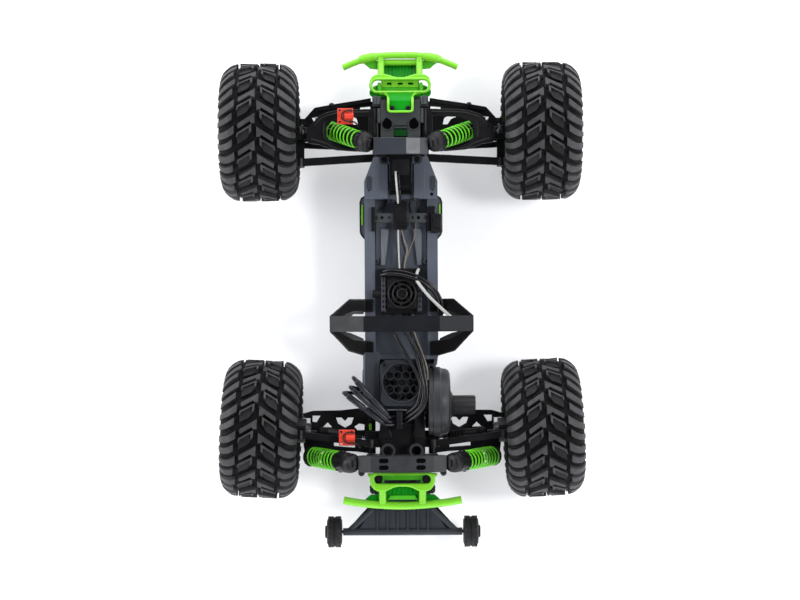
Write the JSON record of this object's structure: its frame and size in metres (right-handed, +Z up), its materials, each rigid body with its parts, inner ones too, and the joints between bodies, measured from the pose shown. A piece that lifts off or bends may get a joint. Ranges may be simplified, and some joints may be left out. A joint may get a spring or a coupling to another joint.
{
  "type": "monster truck chassis",
  "caption": "Body-less 1:10 toy monster truck: tub chassis, sprung arms, steered front wheels, driven rear wheels, bumpers and a wheelie bar.",
  "frame": {"origin": "on the ground, under the middle of the length and width", "axes": "+X to the right side of the truck, +Y forward, +Z up"},
  "size_m": [0.3532, 0.4878, 0.134],
  "materials": {
    "tub_plastic": "moulded nylon, blue-grey, fine satin grain",
    "grey_plastic": "moulded nylon, darker grey",
    "black_plastic": "moulded black nylon, satin",
    "green_plastic": "bright green moulded plastic, soft gloss",
    "rim_plastic": "darker green wheel plastic",
    "tyre_rubber": "matte black tyre rubber",
    "steel": "turned steel",
    "motor_can": "dark anodised motor can",
    "gear_plastic": "acetal gear plastic",
    "battery_wrap": "hard battery case",
    "lead_silicone": "soft silicone wire insulation"
  },
  "bodies": {
    "root": {"chassis_tub": "tub_plastic", "belly_plate": "black_plastic", "battery_pack": "battery_wrap", "front_bulkhead": "grey_plastic", "front_shock_tower": "tub_plastic", "front_bumper": "green_plastic", "steering_servo": "black_plastic", "gearbox_case": "grey_plastic", "gear_cover": "grey_plastic", "motor": "motor_can", "motor_shroud": "grey_plastic", "rear_shock_tower": "grey_plastic", "rear_bumper": "green_plastic", "wheelie_bar": "black_plastic", "esc_case": "black_plastic", "radio_tray": "black_plastic", "roll_hoop": "black_plastic", "motor_leads": "lead_silicone"},
    "front_right_lower_arm": {"front_right_lower_arm": "black_plastic"},
    "front_right_upper_arm": {"front_right_upper_arm": "black_plastic"},
    "front_right_carrier": {"front_right_carrier": "black_plastic"},
    "front_right_wheel": {"front_right_wheel": "rim_plastic", "front_right_tyre": "tyre_rubber"},
    "front_right_shock_body": {"front_right_shock_body": "grey_plastic"},
    "front_right_shock_shaft": {"front_right_shock_shaft": "steel"},
    "front_right_knuckle": {"front_right_knuckle": "black_plastic"},
    "front_right_tie_rod": {"front_right_tie_rod": "black_plastic"},
    "front_left_lower_arm": {"front_left_lower_arm": "black_plastic"},
    "front_left_upper_arm": {"front_left_upper_arm": "black_plastic"},
    "front_left_carrier": {"front_left_carrier": "black_plastic"},
    "front_left_wheel": {"front_left_wheel": "rim_plastic", "front_left_tyre": "tyre_rubber"},
    "front_left_shock_body": {"front_left_shock_body": "grey_plastic"},
    "front_left_shock_shaft": {"front_left_shock_shaft": "steel"},
    "front_left_knuckle": {"front_left_knuckle": "black_plastic"},
    "front_left_tie_rod": {"front_left_tie_rod": "black_plastic"},
    "rear_right_lower_arm": {"rear_right_lower_arm": "black_plastic"},
    "rear_right_camber_link": {"rear_right_camber_link": "black_plastic"},
    "rear_right_carrier": {"rear_right_carrier": "black_plastic"},
    "rear_right_wheel": {"rear_right_wheel": "rim_plastic", "rear_right_tyre": "tyre_rubber"},
    "rear_right_shock_body": {"rear_right_shock_body": "grey_plastic"},
    "rear_right_shock_shaft": {"rear_right_shock_shaft": "steel"},
    "rear_right_driveshaft": {"rear_right_driveshaft": "black_plastic"},
    "rear_left_lower_arm": {"rear_left_lower_arm": "black_plastic"},
    "rear_left_camber_link": {"rear_left_camber_link": "black_plastic"},
    "rear_left_carrier": {"rear_left_carrier": "black_plastic"},
    "rear_left_wheel": {"rear_left_wheel": "rim_plastic", "rear_left_tyre": "tyre_rubber"},
    "rear_left_shock_body": {"rear_left_shock_body": "grey_plastic"},
    "rear_left_shock_shaft": {"rear_left_shock_shaft": "steel"},
    "rear_left_driveshaft": {"rear_left_driveshaft": "black_plastic"},
    "servo_horn": {"servo_horn": "black_plastic"},
    "steering_link": {"steering_link": "black_plastic"},
    "differential": {"differential": "steel"},
    "spur_gear": {"spur_gear": "gear_plastic"},
    "pinion_gear": {"pinion_gear": "steel"},
    "wheelie_wheels": {"wheelie_wheels": "black_plastic"},
    "esc_fan": {"esc_fan": "black_plastic"},
    "motor_fan": {"motor_fan": "black_plastic"}
  },
  "joints": [
    {"name": "front_right_suspension", "type": "hinge", "parent": "root", "child": "front_right_lower_arm", "pos_m": [0.023, 0.1635, 0.046], "axis": [0, -1, 0], "range_deg": [-12.5, 16], "stiffness_Nm_per_rad": 3, "springref_deg": -8.59},
    {"name": "front_right_upper_arm_swing", "type": "hinge", "parent": "root", "child": "front_right_upper_arm", "pos_m": [0.023, 0.1635, 0.088], "axis": [0, -1, 0], "range_deg": [-13, 16.5]},
    {"name": "front_right_carrier_pivot", "type": "hinge", "parent": "front_right_lower_arm", "child": "front_right_carrier", "pos_m": [0.097, 0.1635, 0.05], "axis": [0, -1, 0], "range_deg": [-16.5, 13]},
    {"name": "front_right_shock_swing", "type": "hinge", "parent": "root", "child": "front_right_shock_body", "pos_m": [0.031, 0.149, 0.116], "axis": [0.5445, -0.8278, 0.1353], "range_deg": [-5.13, 6.43]},
    {"name": "front_right_shock_stroke", "type": "slide", "parent": "front_right_shock_body", "child": "front_right_shock_shaft", "axis": [0.611, 0.265, -0.746], "range_m": [-0.01404, 0.01103]},
    {"name": "front_left_suspension", "type": "hinge", "parent": "root", "child": "front_left_lower_arm", "pos_m": [-0.023, 0.1635, 0.046], "axis": [0, 1, 0], "range_deg": [-12.5, 16], "stiffness_Nm_per_rad": 3, "springref_deg": -8.59},
    {"name": "front_left_upper_arm_swing", "type": "hinge", "parent": "root", "child": "front_left_upper_arm", "pos_m": [-0.023, 0.1635, 0.088], "axis": [0, 1, 0], "range_deg": [-13, 16.5]},
    {"name": "front_left_carrier_pivot", "type": "hinge", "parent": "front_left_lower_arm", "child": "front_left_carrier", "pos_m": [-0.097, 0.1635, 0.05], "axis": [0, 1, 0], "range_deg": [-16.5, 13]},
    {"name": "front_left_shock_swing", "type": "hinge", "parent": "root", "child": "front_left_shock_body", "pos_m": [-0.031, 0.149, 0.116], "axis": [0.5445, 0.8278, -0.1353], "range_deg": [-5.13, 6.43]},
    {"name": "front_left_shock_stroke", "type": "slide", "parent": "front_left_shock_body", "child": "front_left_shock_shaft", "axis": [-0.611, 0.265, -0.746], "range_m": [-0.01404, 0.01103]},
    {"name": "rear_right_suspension", "type": "hinge", "parent": "root", "child": "rear_right_lower_arm", "pos_m": [0.03, -0.1245, 0.048], "axis": [0, -1, 0], "range_deg": [-12.5, 16], "stiffness_Nm_per_rad": 3.5, "springref_deg": -9.74},
    {"name": "rear_right_camber_link_swing", "type": "hinge", "parent": "root", "child": "rear_right_camber_link", "pos_m": [0.03, -0.138, 0.088], "axis": [0, -1, 0], "range_deg": [-13, 16.5]},
    {"name": "rear_right_carrier_pivot", "type": "hinge", "parent": "rear_right_lower_arm", "child": "rear_right_carrier", "pos_m": [0.098, -0.1245, 0.05], "axis": [0, -1, 0], "range_deg": [-16.5, 13]},
    {"name": "rear_right_shock_swing", "type": "hinge", "parent": "root", "child": "rear_right_shock_body", "pos_m": [0.047, -0.155, 0.113], "axis": [0.0931, -0.9955, 0.0167], "range_deg": [-5.8, 7.28]},
    {"name": "rear_right_shock_stroke", "type": "slide", "parent": "rear_right_shock_body", "child": "rear_right_shock_shaft", "axis": [0.6173, 0.0421, -0.7856], "range_m": [-0.01542, 0.01211]},
    {"name": "rear_left_suspension", "type": "hinge", "parent": "root", "child": "rear_left_lower_arm", "pos_m": [-0.03, -0.1245, 0.048], "axis": [0, 1, 0], "range_deg": [-12.5, 16], "stiffness_Nm_per_rad": 3.5, "springref_deg": -9.74},
    {"name": "rear_left_camber_link_swing", "type": "hinge", "parent": "root", "child": "rear_left_camber_link", "pos_m": [-0.03, -0.138, 0.088], "axis": [0, 1, 0], "range_deg": [-13, 16.5]},
    {"name": "rear_left_carrier_pivot", "type": "hinge", "parent": "rear_left_lower_arm", "child": "rear_left_carrier", "pos_m": [-0.098, -0.1245, 0.05], "axis": [0, 1, 0], "range_deg": [-16.5, 13]},
    {"name": "rear_left_shock_swing", "type": "hinge", "parent": "root", "child": "rear_left_shock_body", "pos_m": [-0.047, -0.155, 0.113], "axis": [0.0931, 0.9955, -0.0167], "range_deg": [-5.8, 7.28]},
    {"name": "rear_left_shock_stroke", "type": "slide", "parent": "rear_left_shock_body", "child": "rear_left_shock_shaft", "axis": [-0.6173, 0.0421, -0.7856], "range_m": [-0.01542, 0.01211]},
    {"name": "steering", "type": "hinge", "parent": "root", "child": "servo_horn", "pos_m": [0, 0.114, 0.069], "axis": [0, 0, 1], "range_deg": [-25.78, 25.78]},
    {"name": "link_slide", "type": "slide", "parent": "root", "child": "steering_link", "axis": [1, 0, 0], "range_m": [-0.01064, 0.01064]},
    {"name": "front_right_kingpin", "type": "hinge", "parent": "front_right_carrier", "child": "front_right_knuckle", "pos_m": [0.097, 0.1635, 0.067], "axis": [0, 0, 1], "range_deg": [-20.86, 20.86]},
    {"name": "front_right_tie_rod_swing", "type": "hinge", "parent": "steering_link", "child": "front_right_tie_rod", "pos_m": [0.023, 0.138, 0.072], "axis": [0, -1, 0], "range_deg": [-13, 16.5]},
    {"name": "front_right_wheel_spin", "type": "hinge", "parent": "front_right_knuckle", "child": "front_right_wheel", "pos_m": [0.1365, 0.1635, 0.067], "axis": [1, 0, 0], "continuous": true},
    {"name": "front_left_kingpin", "type": "hinge", "parent": "front_left_carrier", "child": "front_left_knuckle", "pos_m": [-0.097, 0.1635, 0.067], "axis": [0, 0, 1], "range_deg": [-20.86, 20.86]},
    {"name": "front_left_tie_rod_swing", "type": "hinge", "parent": "steering_link", "child": "front_left_tie_rod", "pos_m": [-0.023, 0.138, 0.072], "axis": [0, 1, 0], "range_deg": [-13, 16.5]},
    {"name": "front_left_wheel_spin", "type": "hinge", "parent": "front_left_knuckle", "child": "front_left_wheel", "pos_m": [-0.1365, 0.1635, 0.067], "axis": [1, 0, 0], "continuous": true},
    {"name": "drive", "type": "hinge", "parent": "root", "child": "differential", "pos_m": [0, -0.13484, 0.066], "axis": [1, 0, 0], "continuous": true},
    {"name": "spur_spin", "type": "hinge", "parent": "root", "child": "spur_gear", "pos_m": [0.035, -0.10175, 0.0774], "axis": [1, 0, 0], "continuous": true},
    {"name": "pinion_spin", "type": "hinge", "parent": "root", "child": "pinion_gear", "pos_m": [0.035, -0.079, 0.074], "axis": [1, 0, 0], "continuous": true},
    {"name": "rear_right_wheel_spin", "type": "hinge", "parent": "rear_right_carrier", "child": "rear_right_wheel", "pos_m": [0.1365, -0.1245, 0.067], "axis": [0.9986, 0.0523, 0], "continuous": true},
    {"name": "rear_right_driveshaft_spin", "type": "hinge", "parent": "rear_right_lower_arm", "child": "rear_right_driveshaft", "pos_m": [0.031, -0.13484, 0.066], "axis": [0.9919, 0.1257, 0.0153], "continuous": true},
    {"name": "rear_left_wheel_spin", "type": "hinge", "parent": "rear_left_carrier", "child": "rear_left_wheel", "pos_m": [-0.1365, -0.1245, 0.067], "axis": [0.9986, -0.0523, 0], "continuous": true},
    {"name": "rear_left_driveshaft_spin", "type": "hinge", "parent": "rear_left_lower_arm", "child": "rear_left_driveshaft", "pos_m": [-0.031, -0.13484, 0.066], "axis": [0.9919, -0.1257, -0.0153], "continuous": true},
    {"name": "wheelie_spin", "type": "hinge", "parent": "root", "child": "wheelie_wheels", "pos_m": [0, -0.2285, 0.038], "axis": [1, 0, 0], "continuous": true},
    {"name": "esc_fan_spin", "type": "hinge", "parent": "root", "child": "esc_fan", "pos_m": [0.0006, 0.0059, 0.097], "axis": [0, 0, 1], "continuous": true},
    {"name": "motor_fan_spin", "type": "hinge", "parent": "root", "child": "motor_fan", "pos_m": [0, -0.0785, 0.099], "axis": [0, 0, 1], "continuous": true}
  ],
  "couplings": [
    {"joint": "front_right_upper_arm_swing", "follows": "front_right_suspension", "ratio": 1},
    {"joint": "front_right_carrier_pivot", "follows": "front_right_suspension", "ratio": -1},
    {"joint": "front_right_shock_swing", "follows": "front_right_suspension", "ratio": 0.37047},
    {"joint": "front_right_shock_stroke", "follows": "front_right_suspension", "m_per_rad": -0.049191},
    {"joint": "front_left_upper_arm_swing", "follows": "front_left_suspension", "ratio": 1},
    {"joint": "front_left_carrier_pivot", "follows": "front_left_suspension", "ratio": -1},
    {"joint": "front_left_shock_swing", "follows": "front_left_suspension", "ratio": 0.37047},
    {"joint": "front_left_shock_stroke", "follows": "front_left_suspension", "m_per_rad": -0.049191},
    {"joint": "rear_right_camber_link_swing", "follows": "rear_right_suspension", "ratio": 1},
    {"joint": "rear_right_carrier_pivot", "follows": "rear_right_suspension", "ratio": -1},
    {"joint": "rear_right_shock_swing", "follows": "rear_right_suspension", "ratio": 0.4239},
    {"joint": "rear_right_shock_stroke", "follows": "rear_right_suspension", "m_per_rad": -0.054147},
    {"joint": "rear_left_camber_link_swing", "follows": "rear_left_suspension", "ratio": 1},
    {"joint": "rear_left_carrier_pivot", "follows": "rear_left_suspension", "ratio": -1},
    {"joint": "rear_left_shock_swing", "follows": "rear_left_suspension", "ratio": 0.4239},
    {"joint": "rear_left_shock_stroke", "follows": "rear_left_suspension", "m_per_rad": -0.054147},
    {"joint": "link_slide", "follows": "steering", "m_per_rad": -0.023198},
    {"joint": "front_right_kingpin", "follows": "steering", "ratio": -0.78979},
    {"joint": "front_right_tie_rod_swing", "follows": "front_right_suspension", "ratio": 1},
    {"joint": "front_left_kingpin", "follows": "steering", "ratio": -0.78979},
    {"joint": "front_left_tie_rod_swing", "follows": "front_left_suspension", "ratio": 1},
    {"joint": "spur_spin", "follows": "drive", "ratio": -2.5},
    {"joint": "pinion_spin", "follows": "drive", "ratio": 7.0833},
    {"joint": "rear_right_wheel_spin", "follows": "drive", "ratio": 1},
    {"joint": "rear_right_driveshaft_spin", "follows": "drive", "ratio": 1},
    {"joint": "rear_left_wheel_spin", "follows": "drive", "ratio": 1},
    {"joint": "rear_left_driveshaft_spin", "follows": "drive", "ratio": 1}
  ]
}
